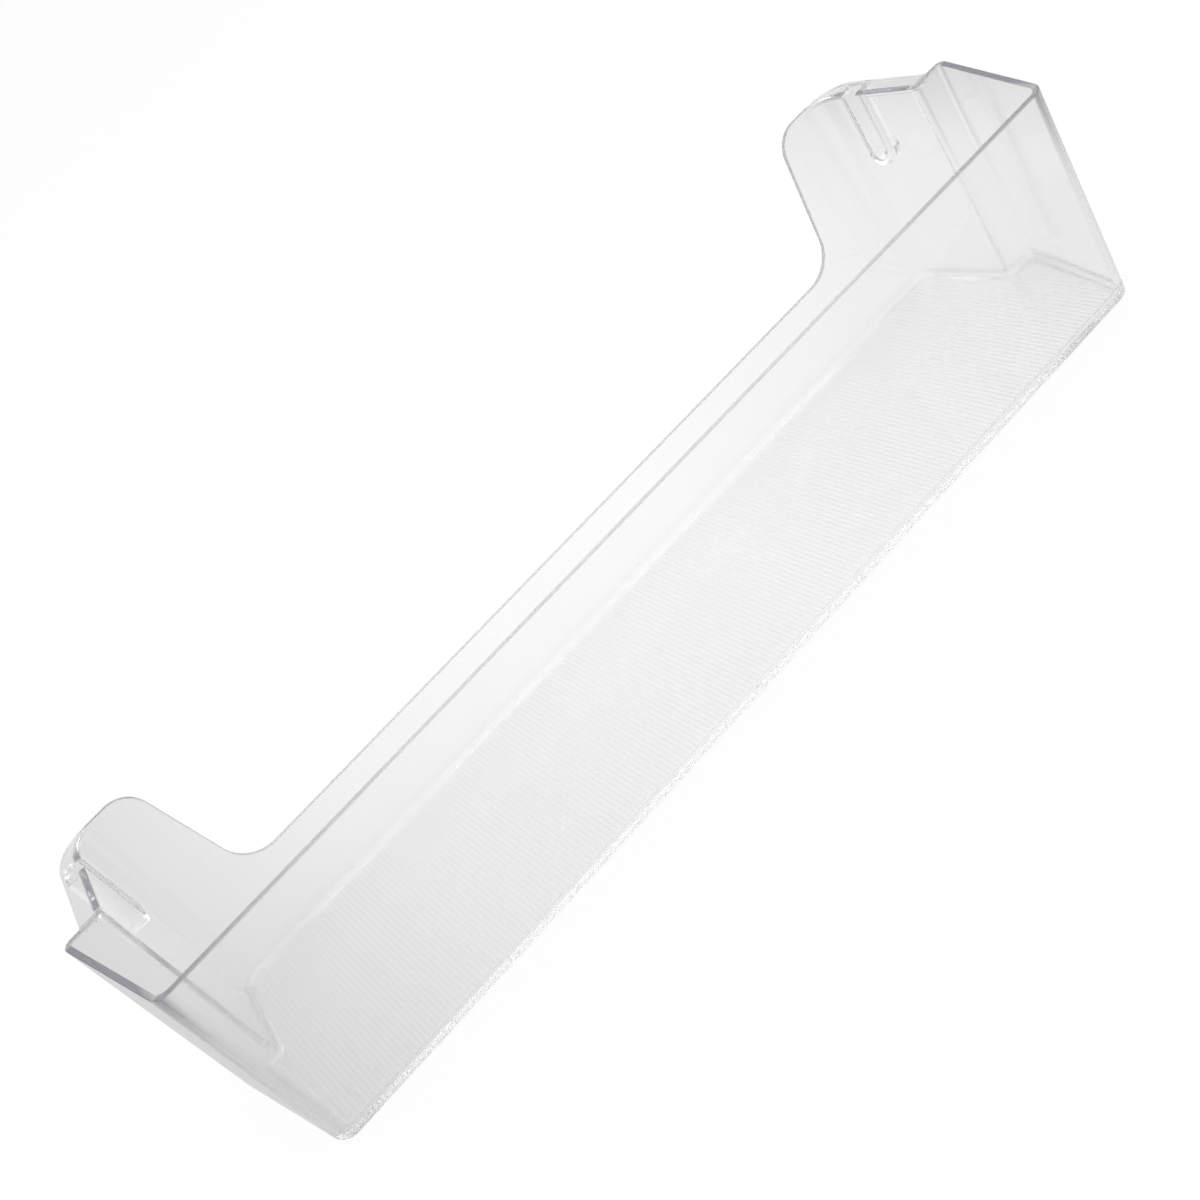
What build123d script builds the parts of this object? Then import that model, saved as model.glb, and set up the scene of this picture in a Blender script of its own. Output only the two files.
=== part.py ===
"""Clear plastic door shelf of a refrigerator, moulded in one piece.

X runs along the length, the front wall faces -Y, +Z is up. The origin is under the middle of the
shelf, on the plane that it stands on. All sizes are in millimetres.
"""
import os
from math import hypot

from build123d import *

# Outer box at the rim, over the sharp corners of the plan
length = 477.0
depth = 124.8
height = 96.4

# Section of the moulding
wall = 2.5
floor_radius = 4.2
rim_edge_radius = 0.5

# Plan of one end at the rim, outer faces
front_setback = 14.4
jog_from_front = 70.9
jog_depth = 16.0
ear_taper = 7.6

# How far each wall leans in from the rim to the underside
front_lean = 0.4
end_lean = 4.6
jog_lean = 2.4
ear_lean = 3.6
back_lean = 6.8

# Upright corners, on the faces named
front_corner_inside = 5.0
back_corner_inside = 9.0
jog_corner_inside = 1.0
jog_foot_outside = 1.2

# The outer bottom rounding stays smaller than the jog's corner that it runs around
bottom_margin = 0.3
bottom_radius = jog_corner_inside + wall - bottom_margin

# Low back wall and the ears, whose widths are taken from the back corner
lip_height = 35.6
ear_width_at_rim = 28.2
ear_width_at_lip = 39.4
ear_top_radius = 12.5
ear_foot_radius = 16.5

# Hanging flange and hollow rib of one ear
flange_reach = 7.2
flange_corner = 16.5
rib_from_jog = 35.0
rib_setback = 1.0
rib_draft = 1.5
groove_width = 8.2
groove_length = 34.0

half_length = length / 2
half_depth = depth / 2
jog_y = jog_from_front - half_depth
ear_at_jog = half_length - jog_depth
ear_at_back = ear_at_jog - ear_taper

# Corners of the right half's plan at the rim
front_corner = (half_length - front_setback, -half_depth)
jog_corner = (half_length, jog_y)
jog_foot = (ear_at_jog, jog_y)
back_corner = (ear_at_back, half_depth)

# Unit vectors out of the right end wall, and along and out of the right ear's end wall, in plan
end_run = hypot(front_setback, jog_from_front)
end_outward = (jog_from_front / end_run, -front_setback / end_run)
ear_run = hypot(ear_taper, half_depth - jog_y)
ear_along = (-ear_taper / ear_run, (half_depth - jog_y) / ear_run)
ear_outward = (ear_along[1], -ear_along[0])


def leaning_plane(x, y, outward, lean):
    """Outer face of a wall through a point of the rim, leaning in by lean over the height."""
    return Plane(origin=(x, y, height), z_dir=(*outward, -lean / height))


front_plane = leaning_plane(*front_corner, (0, -1), front_lean)
end_plane = leaning_plane(*jog_corner, end_outward, end_lean)
jog_plane = leaning_plane(*jog_corner, (0, 1), jog_lean)
ear_plane = leaning_plane(*jog_foot, ear_outward, ear_lean)
back_plane = leaning_plane(*back_corner, (0, 1), back_lean)

# The flange starts inside the jog wall and ends inside the back wall
slope = ear_along[0] / ear_along[1]
flange_start = (ear_at_jog + flange_reach / ear_outward[0] - slope * wall / 2, jog_y - wall / 2)
flange_back = half_depth - wall / 8
flange_end = (flange_start[0] + slope * (flange_back - flange_start[1]), flange_back)
flange_inside = (ear_at_back - 2 * flange_corner, flange_back)

# The rib lies along the outer face of the ear's end wall, with the plane's origin at the rim
rib_spot = (ear_at_jog + rib_from_jog * ear_along[0], jog_y + rib_from_jog * ear_along[1], height)
rib_plane = Plane(origin=rib_spot, x_dir=(*ear_along, 0), z_dir=ear_plane.z_dir)
rib_width = groove_width + 2 * wall
rib_length = groove_length + wall
rib_reach = flange_reach - rib_setback


def half_block(inset, *faces):
    """Right half of a block on the floor's plane, cut by outer faces of the shelf set in by inset."""
    with BuildPart() as body:
        with BuildSketch(Plane.XY.offset(inset)):
            Rectangle(length, 2 * depth, align=(Align.MIN, Align.CENTER))
        extrude(amount=height - inset)
        for face in faces:
            split(bisect_by=face.offset(-inset), keep=Keep.BOTTOM)
    return body.part


def half_tub(inset):
    """Right half of the solid tub: a block that ends at the jog and a narrower one that runs to the back."""
    with BuildPart() as body:
        add(half_block(inset, front_plane, end_plane, jog_plane))
        add(half_block(inset, front_plane, end_plane, ear_plane, back_plane))
    return body.part


def corner_edge(body, corner):
    """Upright edge of a body nearest to a corner of the rim's plan."""
    upright = body.edges().filter_by(lambda edge: abs((edge % 0.5).Z) > 0.9)
    return upright.sort_by_distance((*corner, height))[0]


def bottom_edges(body):
    """Edges around the bottom face of a half body, without the one where the halves meet."""
    return body.faces().sort_by(Axis.Z)[0].edges().filter_by(lambda edge: (edge @ 0.5).X > wall)


with BuildPart() as outside:
    add(half_tub(0))
    fillet(corner_edge(outside, front_corner), front_corner_inside + wall)
    fillet(corner_edge(outside, back_corner), back_corner_inside + wall)
    fillet(corner_edge(outside, jog_foot), jog_foot_outside)
    fillet(corner_edge(outside, jog_corner), jog_corner_inside + wall)
    fillet(bottom_edges(outside), bottom_radius)

# The cavity's floor rounding is larger than its jog corner, so that corner is rounded after it
with BuildPart() as cavity:
    add(half_tub(wall))
    fillet(corner_edge(cavity, front_corner), front_corner_inside)
    fillet(corner_edge(cavity, back_corner), back_corner_inside)
    fillet(corner_edge(cavity, jog_foot), jog_foot_outside + wall)
    fillet(bottom_edges(cavity), floor_radius)
    fillet(corner_edge(cavity, jog_corner), jog_corner_inside)

with BuildPart() as hanger:
    with BuildSketch(Plane.XY.offset(height)):
        with BuildLine():
            flange_edge = FilletPolyline(flange_start, flange_end, flange_inside, radius=flange_corner)
            Polyline(flange_edge @ 1, (flange_inside[0], flange_start[1]), flange_edge @ 0)
        make_face()
    extrude(amount=-wall)
    with BuildSketch(rib_plane.offset(-2 * wall)):
        SlotCenterPoint((0, 0), (0, rib_width / 2 - rib_length), rib_width)
    extrude(amount=2 * wall + rib_reach, taper=rib_draft)
    split(bisect_by=Plane.XY.offset(height), keep=Keep.BOTTOM)

with BuildPart() as groove:
    with BuildSketch(rib_plane.offset(-3 * wall)):
        SlotCenterPoint((0, 0), (0, groove_width / 2 - groove_length), groove_width)
    extrude(amount=2 * wall + rib_reach, taper=rib_draft)

with BuildPart() as ear_gap:
    with BuildSketch(Plane.XZ.offset(-half_depth - wall)):
        with BuildLine():
            gap_edge = FilletPolyline(
                (0, lip_height),
                (ear_at_back - ear_width_at_lip, lip_height),
                (ear_at_back - ear_width_at_rim, height),
                (ear_at_back, height),
                radius=(ear_foot_radius, ear_top_radius),
            )
            Polyline(gap_edge @ 1, (gap_edge @ 1) + (0, wall), (0, height + wall), gap_edge @ 0)
        make_face()
    extrude(amount=half_depth / 2)

with BuildPart() as door_shelf:
    add(outside.part)
    add(hanger.part)
    add(cavity.part, mode=Mode.SUBTRACT)
    add(ear_gap.part, mode=Mode.SUBTRACT)
    # The short edges across the rim are at the middle and where the ear's round top begins
    rim_edges = door_shelf.edges().filter_by_position(Axis.Z, height, height)
    fillet(rim_edges - rim_edges.filter_by(Axis.Y), rim_edge_radius)
    add(groove.part, mode=Mode.SUBTRACT)
    mirror(about=Plane.YZ)

door_shelf.part.label = "door_shelf"
os.makedirs("parts", exist_ok=True)
export_step(door_shelf.part, "parts/door_shelf.step")
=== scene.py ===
"""Looks of a clear plastic refrigerator door shelf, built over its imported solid.

The shelf is one moulding, so it is one visual piece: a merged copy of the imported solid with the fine
flutes of its underside cut in, and one clear plastic all over. The file also makes the pale floor, the
soft studio light and the camera.
"""

import logging
import math
from collections import Counter
from dataclasses import dataclass, field
from enum import Enum

import bpy
from mathutils import Matrix, Vector


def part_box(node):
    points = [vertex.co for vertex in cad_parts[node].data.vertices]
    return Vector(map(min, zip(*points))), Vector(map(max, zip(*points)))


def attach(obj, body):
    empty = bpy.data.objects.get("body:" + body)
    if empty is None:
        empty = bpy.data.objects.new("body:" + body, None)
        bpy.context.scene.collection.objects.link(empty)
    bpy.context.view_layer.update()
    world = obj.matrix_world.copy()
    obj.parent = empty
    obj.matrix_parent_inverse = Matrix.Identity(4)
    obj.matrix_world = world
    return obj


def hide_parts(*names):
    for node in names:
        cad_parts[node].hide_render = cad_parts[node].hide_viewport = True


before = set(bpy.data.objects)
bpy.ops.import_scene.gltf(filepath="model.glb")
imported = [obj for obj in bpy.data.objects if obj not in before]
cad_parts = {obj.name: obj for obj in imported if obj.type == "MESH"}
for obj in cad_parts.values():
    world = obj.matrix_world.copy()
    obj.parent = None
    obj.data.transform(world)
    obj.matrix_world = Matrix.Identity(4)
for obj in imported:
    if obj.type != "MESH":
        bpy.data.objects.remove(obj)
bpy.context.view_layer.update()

logging.basicConfig(level=logging.INFO, format="%(name)s: %(message)s")
log = logging.getLogger("door_shelf")

MM = 0.001
Pair = tuple[float, float]
Triple = tuple[float, float, float]
Colour = tuple[float, float, float, float]
Span = tuple[float, ...]
Tree = bpy.types.NodeTree
Socket = bpy.types.NodeSocket

WHITE: Colour = (1.0, 1.0, 1.0, 1.0)
BOUNCES = 64
CLEAR_BOUNCES = 16


class Pick(Enum):
    """What edit mode selects."""

    VERTS = "VERT"
    FACES = "FACE"


class Cut(Enum):
    """How a cutter works on a piece."""

    REMOVE = "DIFFERENCE"
    KEEP_INSIDE = "INTERSECT"


class Rays(Enum):
    """Kinds of ray that see the white of the studio."""

    CAMERA = "Is Camera Ray"
    GLOSSY = "Is Glossy Ray"
    TRANSMISSION = "Is Transmission Ray"


class Course(Enum):
    """How a fade runs between its two ends."""

    STRAIGHT = "LINEAR"
    SOFT = "SMOOTHSTEP"


class Bench:
    """Hand tools for meshes."""

    SLIVER = 0.001 * MM

    @staticmethod
    def only(piece: bpy.types.Object) -> None:
        """Deselects everything, then selects one object and makes it active.

        Args:
            piece: The object that the next operators act on.
        """
        if bpy.context.mode != "OBJECT":
            bpy.ops.object.mode_set(mode="OBJECT")
        bpy.ops.object.select_all(action="DESELECT")
        piece.select_set(True)
        bpy.context.view_layer.objects.active = piece

    @staticmethod
    def open(piece: bpy.types.Object, pick: Pick, action: str = "SELECT") -> None:
        """Enters edit mode on one object.

        Args:
            piece: The object to edit.
            pick: What edit mode selects.
            action: What is done to the selection on entering.
        """
        Bench.only(piece)
        bpy.ops.object.mode_set(mode="EDIT")
        bpy.ops.mesh.select_mode(type=pick.value)
        bpy.ops.mesh.select_all(action=action)

    @staticmethod
    def close() -> None:
        """Goes back to object mode."""
        bpy.ops.object.mode_set(mode="OBJECT")

    @staticmethod
    def boolean(piece: bpy.types.Object, cutter: bpy.types.Object, cut: Cut) -> None:
        """Cuts a piece with another one and deletes the cutter.

        Args:
            piece: The object that is changed.
            cutter: The closed object that cuts it.
            cut: Whether the cutter's inside is removed or kept.
        """
        Bench.only(piece)
        modifier = piece.modifiers.new("cut", "BOOLEAN")
        modifier.operation = cut.value
        modifier.solver = "MANIFOLD"
        modifier.object = cutter
        bpy.ops.object.modifier_apply(modifier=modifier.name)
        bpy.data.objects.remove(cutter)
        Bench.open(piece, Pick.VERTS)
        bpy.ops.mesh.dissolve_degenerate(threshold=Bench.SLIVER)
        Bench.close()


class Wiring:
    """Shader nodes that several materials share."""

    @staticmethod
    def math(tree: Tree, operation: str, *terms: Socket | float) -> Socket:
        """Combines sockets and numbers.

        Args:
            tree: The nodes to add to.
            operation: Name of the operation.
            terms: Sockets, which are linked, and numbers, which are set on the node.

        Returns:
            The result.
        """
        node = tree.nodes.new("ShaderNodeMath")
        node.operation = operation
        for term, socket in zip(terms, node.inputs):
            if isinstance(term, Socket):
                tree.links.new(term, socket)
            else:
                socket.default_value = term
        return node.outputs["Value"]

    @staticmethod
    def axes(tree: Tree, vector: Socket) -> bpy.types.NodeOutputs:
        """Splits coordinates.

        Args:
            tree: The nodes to add to.
            vector: The coordinates.

        Returns:
            The outputs X, Y and Z.
        """
        node = tree.nodes.new("ShaderNodeSeparateXYZ")
        tree.links.new(vector, node.inputs["Vector"])
        return node.outputs

    @staticmethod
    def fade(
        tree: Tree,
        value: Socket,
        span: Pair,
        levels: Pair = (0.0, 1.0),
        course: Course = Course.STRAIGHT,
    ) -> Socket:
        """Fades from one level to another.

        Args:
            tree: The nodes to add to.
            value: The socket that the fade follows.
            span: Values where the fade begins and ends.
            levels: First and last level.
            course: How the fade runs between them.

        Returns:
            The faded level.
        """
        node = tree.nodes.new("ShaderNodeMapRange")
        node.interpolation_type = course.value
        for name, number in zip(("From Min", "From Max", "To Min", "To Max"), (*span, *levels)):
            node.inputs[name].default_value = number
        tree.links.new(value, node.inputs["Value"])
        return node.outputs["Result"]

    @staticmethod
    def greys(tree: Tree, value: Socket, stops: tuple[Pair, ...]) -> Socket:
        """Grades a value into greys.

        Args:
            tree: The nodes to add to.
            value: The socket that is graded.
            stops: Value and brightness of each stop, in rising order.

        Returns:
            The grey as a colour.
        """
        node = tree.nodes.new("ShaderNodeValToRGB")
        ramp = node.color_ramp.elements
        while len(ramp) < len(stops):
            ramp.new(0.5)
        for stop, (position, level) in zip(ramp, stops):
            stop.position = position
            stop.color = (level, level, level, 1.0)
        tree.links.new(value, node.inputs["Fac"])
        return node.outputs["Color"]


@dataclass(frozen=True)
class Region:
    """Region that lies at both ends of the shelf, in millimetres.

    A span of two values says where the region fades in, and two more say where it fades out again.

    Attributes:
        outward: Span along the length, from the middle to either end.
        across: Span across the shelf.
        upward: Span over the height.
        slant: How far the region moves in for each step across.
        peak: Level inside the region.
    """

    outward: Span
    across: Span
    upward: Span
    slant: float = 0.0
    peak: float = 1.0

    def level(self, tree: Tree, place: Socket) -> Socket:
        """Marks the region by its coordinates.

        Args:
            tree: The material's nodes.
            place: The object coordinates.

        Returns:
            A level that is the peak in the region and 0 outside it.
        """
        axes = Wiring.axes(tree, place)
        along = Wiring.math(tree, "ABSOLUTE", axes["X"])
        if self.slant:
            along = Wiring.math(tree, "MULTIPLY_ADD", axes["Y"], self.slant, along)
        spans = ((along, self.outward), (axes["Y"], self.across), (axes["Z"], self.upward))
        level = None
        for socket, span in spans:
            for start, end, levels in zip(span[::2], span[1::2], ((0.0, 1.0), (1.0, 0.0))):
                if level is None:
                    levels = (levels[0] * self.peak, levels[1] * self.peak)
                fade = Wiring.fade(tree, socket, (start * MM, end * MM), levels)
                level = fade if level is None else Wiring.math(tree, "MULTIPLY", level, fade)
        return level


@dataclass(frozen=True)
class ClearPlastic:
    """Clear polystyrene: polished walls, satin edges, and painted grey-violet shade on the rims towards the
    ends.

    Attributes:
        tint: Colour that light takes at each surface.
        painted_shade: Painted shade at the rims towards the two ends and the tops of the front corners: a
            dark grey-violet colour that stands in for the darkness that light led along the walls gives
            them.
        painted_shade_regions: Regions that have the painted shade: the end walls' rims, the front wall's
            rim, the tops of the front corners, the jogs' rims and the ears' rims.
        flanges: Region of the hanging flanges, which are polished where the rest of the rim is satin.
        ior: Index of refraction.
        gloss: Lowest and highest roughness of the polished walls.
        patch_scale: Scale of the pattern that spreads the gloss.
        patch_detail: Detail of that pattern.
        patch_range: Part of the pattern's values that the gloss spreads over.
        foot: Roughness of the floor's upper side and of the walls near it.
        foot_fade: Heights between which the walls change to it, in metres.
        satin: Roughness of the fluted underside.
        satin_fade: Heights between which the bottom changes to it, in metres.
        swell_scale: Scale of the walls' waviness.
        swell_height: Height of the waviness, in metres.
        swell_strength: How much of it shows.
        mark: Name of the face attribute that holds the roughness of the satin edges and corners.
    """

    tint: Colour = (0.985, 0.985, 0.985, 1.0)
    # Painted shade: a dark grey-violet colour for the rims, in place of the darkness that light through the
    # walls gives them.
    painted_shade: Colour = (0.20, 0.185, 0.24, 1.0)
    painted_shade_regions: tuple[Region, ...] = (
        Region((221.0, 226.0), (7.0, 4.0), (95.6, 96.1)),
        Region((110.0, 245.0), (-57.0, -59.0), (95.6, 96.1)),
        Region((219.5, 222.5), (-57.0, -60.0), (66.0, 104.0)),
        Region((219.0, 221.0), (5.0, 6.0, 8.8, 9.3), (95.6, 96.1), peak=0.5),
        Region((220.6, 221.0, 223.6, 224.0), (9.5, 10.5, 50.0, 53.0), (95.6, 96.1), slant=0.141, peak=0.9),
    )
    flanges: Region = Region((205.0, 207.0), (8.0, 10.0), (95.0, 95.5))
    ior: float = 1.58
    gloss: Pair = (0.05, 0.09)
    patch_scale: float = 34.0
    patch_detail: float = 1.0
    patch_range: Pair = (0.35, 0.75)
    foot: float = 0.012
    foot_fade: Pair = (12.0 * MM, 7.0 * MM)
    satin: float = 0.1
    satin_fade: Pair = (0.3 * MM, 0.2 * MM)
    swell_scale: float = 22.0
    swell_height: float = 0.12 * MM
    swell_strength: float = 0.35
    mark: str = "satin"

    def build(self) -> bpy.types.Material:
        """Makes the material.

        Returns:
            The clear plastic.
        """
        material = bpy.data.materials.new("clear_plastic")
        material.use_nodes = True
        tree = material.node_tree
        shader = tree.nodes["Principled BSDF"]
        shader.inputs["IOR"].default_value = self.ior
        shader.inputs["Transmission Weight"].default_value = 1.0
        place = tree.nodes.new("ShaderNodeTexCoord").outputs["Object"]
        tree.links.new(self._colour(tree, place), shader.inputs["Base Color"])
        tree.links.new(self._roughness(tree, place), shader.inputs["Roughness"])
        tree.links.new(self._waviness(tree, place), shader.inputs["Normal"])
        return material

    def _colour(self, tree: Tree, place: Socket) -> Socket:
        """Paints shade onto the rims towards the two ends and the tops of the front corners, as a darker
        tint than the walls'.

        Args:
            tree: The material's nodes.
            place: The object coordinates.

        Returns:
            The colour.
        """
        # Painted shade: these regions mix the darker rim colour into the plastic's tint.
        level = self.painted_shade_regions[0].level(tree, place)
        for region in self.painted_shade_regions[1:]:
            level = Wiring.math(tree, "MAXIMUM", level, region.level(tree, place))
        mix = tree.nodes.new("ShaderNodeMix")
        mix.data_type = "RGBA"
        mix.inputs["A"].default_value = self.tint
        mix.inputs["B"].default_value = self.painted_shade
        tree.links.new(level, mix.inputs["Factor"])
        return mix.outputs["Result"]

    def _roughness(self, tree: Tree, place: Socket) -> Socket:
        """Gives the walls uneven gloss, the floor a higher one, and the underside and edges a satin finish.

        Args:
            tree: The material's nodes.
            place: The object coordinates.

        Returns:
            The roughness.
        """
        patches = tree.nodes.new("ShaderNodeTexNoise")
        patches.inputs["Scale"].default_value = self.patch_scale
        patches.inputs["Detail"].default_value = self.patch_detail
        tree.links.new(place, patches.inputs["Vector"])
        height = Wiring.axes(tree, place)["Z"]
        rough = Wiring.fade(tree, patches.outputs["Fac"], self.patch_range, self.gloss)
        for heights, finish in ((self.foot_fade, self.foot), (self.satin_fade, self.satin)):
            mix = tree.nodes.new("ShaderNodeMix")
            mix.inputs["B"].default_value = finish
            tree.links.new(Wiring.fade(tree, height, heights), mix.inputs["Factor"])
            tree.links.new(rough, mix.inputs["A"])
            rough = mix.outputs["Result"]
        marked = tree.nodes.new("ShaderNodeAttribute")
        marked.attribute_name = self.mark
        bare = Wiring.fade(tree, self.flanges.level(tree, place), (1.0, 0.0))
        edges = Wiring.math(tree, "MULTIPLY", marked.outputs["Fac"], bare)
        return Wiring.math(tree, "MAXIMUM", rough, edges)

    def _waviness(self, tree: Tree, place: Socket) -> Socket:
        """Adds the faint waviness that a moulded wall has.

        Args:
            tree: The material's nodes.
            place: The object coordinates.

        Returns:
            The normal.
        """
        swell = tree.nodes.new("ShaderNodeTexNoise")
        swell.inputs["Scale"].default_value = self.swell_scale
        swell.inputs["Detail"].default_value = 0.0
        bump = tree.nodes.new("ShaderNodeBump")
        bump.inputs["Strength"].default_value = self.swell_strength
        bump.inputs["Distance"].default_value = self.swell_height
        tree.links.new(place, swell.inputs["Vector"])
        tree.links.new(swell.outputs["Fac"], bump.inputs["Height"])
        return bump.outputs["Normal"]


@dataclass
class Moulding:
    """The shelf's one piece: tub, ears, hanging flanges and ribs, with fine flutes under its floor.

    Lengths are in metres and angles in degrees.

    Attributes:
        node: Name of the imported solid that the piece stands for.
        weld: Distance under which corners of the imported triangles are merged.
        flat_angle: Angle under which neighbouring triangles become one face.
        outline_angle: The same for the outline of the underside.
        crease: Angle over which an edge stays sharp.
        wall_weight: How much the large faces count in the smooth shading, from 1 to 100.
        flute_pitch: Distance from flute to flute along the length.
        flute_width: Width of one flute.
        flute_depth: How deep a flute goes into the floor.
        flute_margin: How far the flutes stay inside the flat underside.
        flute_sides: Number of sides of the rod that cuts a flute.
        field_reach: How far the block that trims the flutes reaches above and below the underside.
        under_height: Height under which a face can belong to the flat underside.
        under_facing: How far down such a face looks, as the cosine of its tilt.
        wall_area: Area that faces of one direction must have together to be a wall, in square metres.
        rim_band: Height of the rim's rounding below the top.
        rim_facing: How far up a face of the rim looks at least.
        lip_from: Distance behind the middle and height where the lip and the ears' outlines begin.
        lip_across: How far to the front or the back a face of these looks at most.
        lip_facing: How far up it looks at least.
        jog_reach: How far in from the ends the jogs' corners lie.
        rib_from: How far in from the ends the ribs lie, and their distance behind the middle and height.
        bottom_band: Height under which a rounding belongs to the bottom.
        rim_satin: Roughness of the rim.
        lip_satin: Roughness of the lip's top and the ears' outlines.
        corner_satin: Roughness of the rounded corners.
        bottom_satin: Roughness of the outer rounding along the bottom.
        finish: The plastic.
    """

    node: str = "door_shelf"
    weld: float = 0.002 * MM
    flat_angle: float = 0.05
    outline_angle: float = 1.0
    crease: float = 32.0
    wall_weight: int = 90
    flute_pitch: float = 2.11 * MM
    flute_width: float = 1.8 * MM
    flute_depth: float = 0.11 * MM
    flute_margin: float = 3.5 * MM
    flute_sides: int = 20
    field_reach: float = 1.0 * MM
    under_height: float = 0.01 * MM
    under_facing: float = 0.999
    wall_area: float = 1200 * MM * MM
    rim_band: float = 0.7 * MM
    rim_facing: float = 0.2
    lip_from: Pair = (45 * MM, 34 * MM)
    lip_across: float = 0.02
    lip_facing: float = 0.05
    jog_reach: float = 8 * MM
    rib_from: Triple = (30 * MM, 25 * MM, 30 * MM)
    bottom_band: float = 7 * MM
    rim_satin: float = 0.35
    lip_satin: float = 0.9
    corner_satin: float = 0.16
    bottom_satin: float = 0.3
    finish: ClearPlastic = field(default_factory=ClearPlastic)

    def build(self) -> bpy.types.Object:
        """Copies the solid, cuts the flutes, smooths and dresses the piece.

        Returns:
            The finished piece, riding on the part's one body.
        """
        piece = self._copy()
        Bench.boolean(piece, self._flutes(self._field(piece)), Cut.REMOVE)
        self._smooth(piece)
        self._mark_edges(piece)
        piece.data.materials.clear()
        piece.data.materials.append(self.finish.build())
        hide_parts(self.node)
        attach(piece, "root")
        return piece

    def _copy(self) -> bpy.types.Object:
        """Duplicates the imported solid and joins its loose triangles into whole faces.

        Returns:
            The merged copy.
        """
        Bench.only(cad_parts[self.node])
        bpy.ops.object.duplicate()
        piece = bpy.context.object
        piece.name = "door_shelf_clear"
        piece.data.name = piece.name
        bpy.ops.mesh.customdata_custom_splitnormals_clear()
        Bench.open(piece, Pick.VERTS)
        bpy.ops.mesh.remove_doubles(threshold=self.weld)
        bpy.ops.mesh.dissolve_limited(angle_limit=math.radians(self.flat_angle))
        Bench.close()
        return piece

    def _field(self, piece: bpy.types.Object) -> bpy.types.Object:
        """Makes a block over the part of the flat underside that has flutes.

        Args:
            piece: The merged copy.

        Returns:
            A thin closed block with the outline of the fluted field.
        """
        Bench.only(piece)
        bpy.ops.object.duplicate()
        block = bpy.context.object
        block.name = "flute_field"
        Bench.open(block, Pick.FACES, "DESELECT")
        Bench.close()
        for face in block.data.polygons:
            looks_down = face.normal.z < -self.under_facing
            face.select = not (looks_down and face.center.z < self.under_height)
        bpy.ops.object.mode_set(mode="EDIT")
        bpy.ops.mesh.delete(type="FACE")
        bpy.ops.mesh.select_all(action="SELECT")
        bpy.ops.mesh.dissolve_limited(angle_limit=math.radians(self.outline_angle))
        bpy.ops.mesh.inset(thickness=self.flute_margin, use_boundary=True)
        bpy.ops.mesh.select_all(action="INVERT")
        bpy.ops.mesh.delete(type="FACE")
        bpy.ops.mesh.select_all(action="SELECT")
        bpy.ops.transform.translate(value=(0, 0, self.field_reach))
        bpy.ops.mesh.extrude_region_move(TRANSFORM_OT_translate={"value": (0, 0, -2 * self.field_reach)})
        Bench.close()
        return block

    def _flutes(self, block: bpy.types.Object) -> bpy.types.Object:
        """Models one flute as a flattened rod, repeats it and trims the row to the fluted field.

        Args:
            block: The block with the field's outline.

        Returns:
            The row of flutes as one cutter.
        """
        low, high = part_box(self.node)
        half = math.floor(high.x / self.flute_pitch)
        bpy.ops.object.select_all(action="DESELECT")
        bpy.ops.mesh.primitive_cylinder_add(
            vertices=self.flute_sides, radius=self.flute_width / 2, depth=high.y - low.y
        )
        row = bpy.context.object
        row.name = "flute_row"
        Bench.open(row, Pick.VERTS)
        bpy.ops.transform.rotate(value=math.pi / 2, orient_axis="X", center_override=(0, 0, 0))
        bpy.ops.transform.resize(value=(1, 1, 2 * self.flute_depth / self.flute_width))
        bpy.ops.transform.translate(value=(-half * self.flute_pitch, 0, 0))
        Bench.close()
        repeat = row.modifiers.new("row", "ARRAY")
        repeat.count = 2 * half + 1
        repeat.use_relative_offset = False
        repeat.use_constant_offset = True
        repeat.constant_offset_displace = (self.flute_pitch, 0, 0)
        bpy.ops.object.modifier_apply(modifier=repeat.name)
        Bench.boolean(row, block, Cut.KEEP_INSIDE)
        return row

    def _smooth(self, piece: bpy.types.Object) -> None:
        """Shades the rounded edges smooth and keeps the flat walls flat.

        Args:
            piece: The cut piece.
        """
        Bench.only(piece)
        bpy.ops.object.shade_smooth_by_angle(angle=math.radians(self.crease))
        even = piece.modifiers.new("even", "WEIGHTED_NORMAL")
        even.keep_sharp = True
        even.weight = self.wall_weight
        bpy.ops.object.modifier_apply(modifier=even.name)

    def _mark_edges(self, piece: bpy.types.Object) -> None:
        """Notes how satin the rim, the lip, the ears' outlines and the rounded corners are.

        Args:
            piece: The smoothed piece.
        """
        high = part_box(self.node)[1]
        areas: Counter[Triple] = Counter()
        for face in piece.data.polygons:
            areas[face.normal.to_tuple(2)] += face.area
        mark = piece.data.attributes.new(self.finish.mark, "FLOAT", "FACE")
        for face in piece.data.polygons:
            is_rounded = areas[face.normal.to_tuple(2)] < self.wall_area
            mark.data[face.index].value = self._satin(face.center, face.normal, is_rounded, high)

    def _satin(self, spot: Vector, facing: Vector, is_rounded: bool, high: Vector) -> float:
        """Tells how satin a face is.

        Args:
            spot: Middle of the face.
            facing: Its normal.
            is_rounded: Whether it belongs to a rounded corner.
            high: Far corner of the shelf's box.

        Returns:
            Its roughness, or 0 for a polished face.
        """
        if spot.z > high.z - self.rim_band and facing.z > self.rim_facing:
            return self.rim_satin
        looks_along = abs(facing.y) < self.lip_across and facing.z > self.lip_facing
        if looks_along and spot.y > self.lip_from[0] and spot.z > self.lip_from[1]:
            return self.lip_satin
        from_end = high.x - abs(spot.x)
        at_jog_corner = from_end < self.jog_reach and spot.y > 0
        at_rib = from_end < self.rib_from[0] and spot.y > self.rib_from[1] and spot.z > self.rib_from[2]
        if not is_rounded or at_jog_corner or at_rib:
            return 0.0
        is_bottom = spot.z < self.bottom_band and facing.z < 0
        return self.bottom_satin if is_bottom else self.corner_satin


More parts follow.
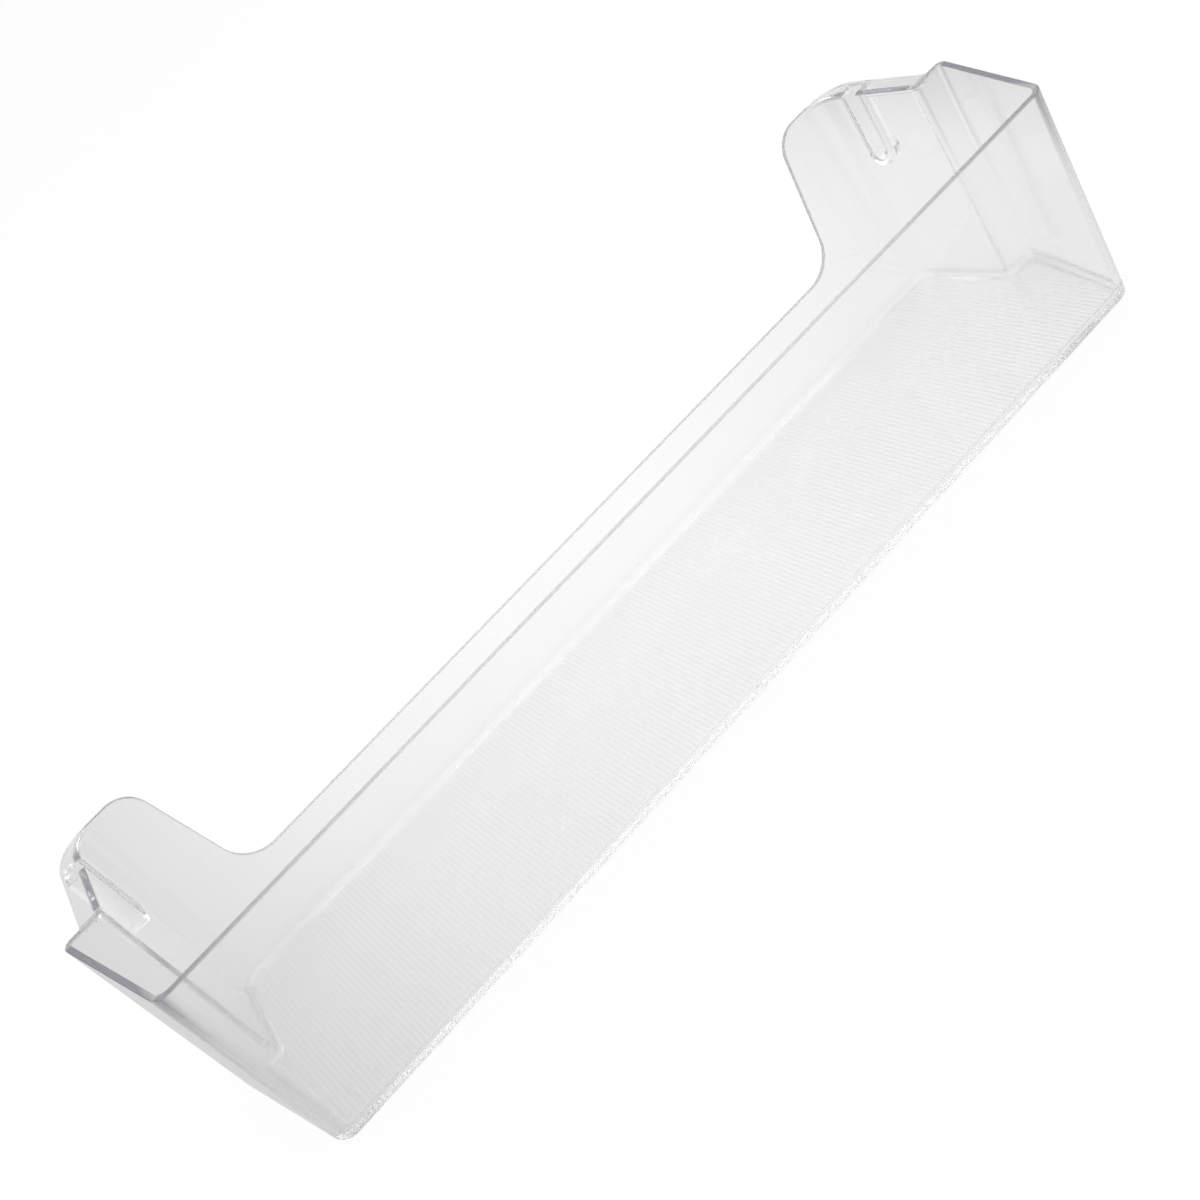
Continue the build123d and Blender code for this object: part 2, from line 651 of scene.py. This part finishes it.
@dataclass(frozen=True)
class StudioWhite:
    """White of the studio, which the camera, reflections and clear plastic see on the floor.

    Attributes:
        share: How much of the floor that the camera sees is plain white rather than lit paint.
        through: The same share for what is seen in and through the plastic.
        painted_falloff: Painted shade on that white along the length: its brightness at distances from the
            middle
        in metres, darker towards the ends in place of light falling off there.
        reach: Distance from the middle where the falloff ends, in metres.
        paint: Colour of the floor under the lamp.
    """

    share: float = 0.94
    through: float = 0.85
    # Painted shade: levels of the white, darker towards the ends in place of light falling off.
    painted_falloff: tuple[Pair, ...] = (
        (-0.45, 0.3),
        (-0.24, 0.65),
        (-0.13, 0.875),
        (-0.03, 0.97),
        (0.05, 0.99),
        (0.2, 0.895),
        (0.3, 0.8),
        (0.45, 0.25),
    )
    reach: float = 0.5
    paint: Colour = (0.9, 0.9, 0.9, 1.0)

    def build(self) -> bpy.types.Material:
        """Makes the floor's material.

        Returns:
            Pale paint that is white to the camera, has painted shade along its length for reflections and
            the plastic, and keeps a share of the object's shadow.
        """
        material = bpy.data.materials.new("pale_floor")
        material.use_nodes = True
        tree = material.node_tree
        tree.nodes.remove(tree.nodes["Principled BSDF"])
        paint = tree.nodes.new("ShaderNodeBsdfDiffuse")
        paint.inputs["Color"].default_value = self.paint
        seen = tree.nodes.new("ShaderNodeLightPath").outputs
        white = tree.nodes.new("ShaderNodeEmission")
        white.inputs["Strength"].default_value = 1.0
        tree.links.new(self._painted_shade_tone(tree, seen[Rays.CAMERA.value]), white.inputs["Color"])
        direct = Wiring.math(tree, "MULTIPLY", seen[Rays.CAMERA.value], self.share)
        mirrored = Wiring.math(tree, "MULTIPLY", seen[Rays.GLOSSY.value], self.through)
        passed = Wiring.math(tree, "MULTIPLY", seen[Rays.TRANSMISSION.value], self.through)
        indirect = Wiring.math(tree, "MAXIMUM", mirrored, passed)
        mix = tree.nodes.new("ShaderNodeMixShader")
        tree.links.new(Wiring.math(tree, "MAXIMUM", indirect, direct), mix.inputs["Fac"])
        tree.links.new(paint.outputs["BSDF"], mix.inputs[1])
        tree.links.new(white.outputs["Emission"], mix.inputs[2])
        tree.links.new(mix.outputs["Shader"], tree.nodes["Material Output"].inputs["Surface"])
        return material

    def _painted_shade_tone(self, tree: Tree, to_camera: Socket) -> Socket:
        """Paints shade onto the white along the floor, darker towards the ends, apart from what the camera
        sees directly.

        Args:
            tree: The floor's nodes.
            to_camera: The socket that is 1 for rays from the camera.

        Returns:
            The colour of the white.
        """
        place = tree.nodes.new("ShaderNodeTexCoord").outputs["Object"]
        # Painted shade: reflections and the plastic see this white darker away from the middle.
        along = Wiring.fade(tree, Wiring.axes(tree, place)["X"], (-self.reach, self.reach))
        stops = tuple((0.5 + distance / (2 * self.reach), level) for distance, level in self.painted_falloff)
        tone = tree.nodes.new("ShaderNodeMix")
        tone.data_type = "RGBA"
        tone.inputs["B"].default_value = WHITE
        tree.links.new(to_camera, tone.inputs["Factor"])
        tree.links.new(Wiring.greys(tree, along, stops), tone.inputs["A"])
        return tone.outputs["Result"]


@dataclass
class Studio:
    """Pale floor, soft overhead light and the surroundings that the plastic reflects.

    Attributes:
        floor_size: Side of the square floor, in metres.
        floor_gap: Height of the underside over the floor, which keeps the two faces apart.
        lamp_height: Height of the overhead soft light.
        lamp_side: Side of the overhead soft light.
        lamp_watts: Power of the overhead soft light.
        surround: Brightness of the surroundings, from straight down (0) to straight up (1).
        side_shade: How much darker they are to the left and to the right.
        side_spans: Directions between which they darken, to the left and to the right.
        white: The floor's finish.
    """

    floor_size: float = 14.0
    floor_gap: float = 0.2 * MM
    lamp_height: float = 0.95
    lamp_side: float = 2.0
    lamp_watts: float = 12.5
    surround: tuple[Pair, ...] = ((0.0, 0.9), (0.49, 0.85), (0.52, 0.80), (0.72, 0.85), (0.95, 0.85))
    side_shade: Pair = (0.65, 0.5)
    side_spans: tuple[Pair, Pair] = ((-0.35, -0.9), (0.35, 0.9))
    white: StudioWhite = field(default_factory=StudioWhite)

    def build(self) -> None:
        """Makes the floor, the lamp and the surroundings."""
        self._floor()
        self._lamp()
        self._surroundings()

    def _floor(self) -> None:
        """Lays the floor just under the shelf."""
        bpy.ops.object.select_all(action="DESELECT")
        bpy.ops.mesh.primitive_plane_add(size=self.floor_size, location=(0, 0, -self.floor_gap))
        floor = bpy.context.object
        floor.name = "studio_floor"
        floor.data.materials.append(self.white.build())

    def _lamp(self) -> None:
        """Hangs the soft light over the shelf."""
        bpy.ops.object.light_add(type="AREA", location=(0, 0, self.lamp_height))
        lamp = bpy.context.object
        lamp.name = "soft_overhead"
        lamp.data.shape = "SQUARE"
        lamp.data.size = self.lamp_side
        lamp.data.energy = self.lamp_watts

    def _surroundings(self) -> None:
        """Grades the world by height and darkens its sides, and shows it white to the camera."""
        world = bpy.data.worlds.new("studio_surroundings")
        bpy.context.scene.world = world
        world.use_nodes = True
        tree = world.node_tree
        axes = Wiring.axes(tree, tree.nodes.new("ShaderNodeTexCoord").outputs["Generated"])
        height = Wiring.fade(tree, axes["Z"], (-1.0, 1.0))
        graded = tree.nodes["Background"]
        plain = tree.nodes.new("ShaderNodeBackground")
        plain.inputs["Color"].default_value = WHITE
        seen = tree.nodes.new("ShaderNodeLightPath").outputs
        mix = tree.nodes.new("ShaderNodeMixShader")
        tree.links.new(Wiring.greys(tree, height, self.surround), graded.inputs["Color"])
        tree.links.new(self._side_level(tree, axes["X"]), graded.inputs["Strength"])
        tree.links.new(seen[Rays.CAMERA.value], mix.inputs["Fac"])
        tree.links.new(graded.outputs["Background"], mix.inputs[1])
        tree.links.new(plain.outputs["Background"], mix.inputs[2])
        tree.links.new(mix.outputs["Shader"], tree.nodes["World Output"].inputs["Surface"])

    def _side_level(self, tree: Tree, sideways: Socket) -> Socket:
        """Darkens the surroundings towards the two sides.

        Args:
            tree: The world's nodes.
            sideways: The direction's part along the shelf's length.

        Returns:
            The factor on their brightness.
        """
        left, right = (
            Wiring.fade(tree, sideways, span, (1.0, 1.0 - shade), Course.SOFT)
            for shade, span in zip(self.side_shade, self.side_spans)
        )
        return Wiring.math(tree, "MULTIPLY", left, right)


@dataclass(frozen=True)
class PhotoCamera:
    """Camera at the photograph's viewing angle, which leans to its right.

    Attributes:
        place: Where it stands, in metres.
        forward: Where it looks.
        up: Upward direction of its picture.
        lens: Focal length for a sensor 36 mm wide.
        near: Distance where the picture begins, in metres.
    """

    place: Triple = (-0.16211, -0.57048, 0.41336)
    forward: Triple = (0.21381, 0.81773, -0.53441)
    up: Triple = (0.70608, 0.24869, 0.66303)
    lens: float = 54.5436
    near: float = 0.01

    def build(self) -> bpy.types.Object:
        """Sets the camera up.

        Returns:
            The scene's camera.
        """
        back = -Vector(self.forward).normalized()
        right = Vector(self.up).cross(back).normalized()
        turn = Matrix((right, back.cross(right), back)).transposed().to_4x4()
        bpy.ops.object.camera_add()
        camera = bpy.context.object
        camera.name = "photo_camera"
        camera.matrix_world = Matrix.Translation(self.place) @ turn
        camera.data.lens = self.lens
        camera.data.clip_start = self.near
        bpy.context.scene.camera = camera
        return camera


def set_view() -> None:
    """Shows colours as they are written and lets light through the many faces of the plastic."""
    scene = bpy.context.scene
    scene.view_settings.view_transform = "Standard"
    scene.cycles.max_bounces = BOUNCES
    scene.cycles.transmission_bounces = BOUNCES
    scene.cycles.glossy_bounces = BOUNCES
    scene.cycles.transparent_max_bounces = CLEAR_BOUNCES


def main() -> None:
    """Builds the shelf, the studio and the camera in order and reports each piece."""
    shelf = Moulding().build()
    log.info("%s: %d faces, %d corners", shelf.name, len(shelf.data.polygons), len(shelf.data.vertices))
    Studio().build()
    log.info("studio: floor, overhead light and surroundings")
    log.info("camera: %s", PhotoCamera().build().name)
    set_view()


if __name__ == "__main__":
    main()
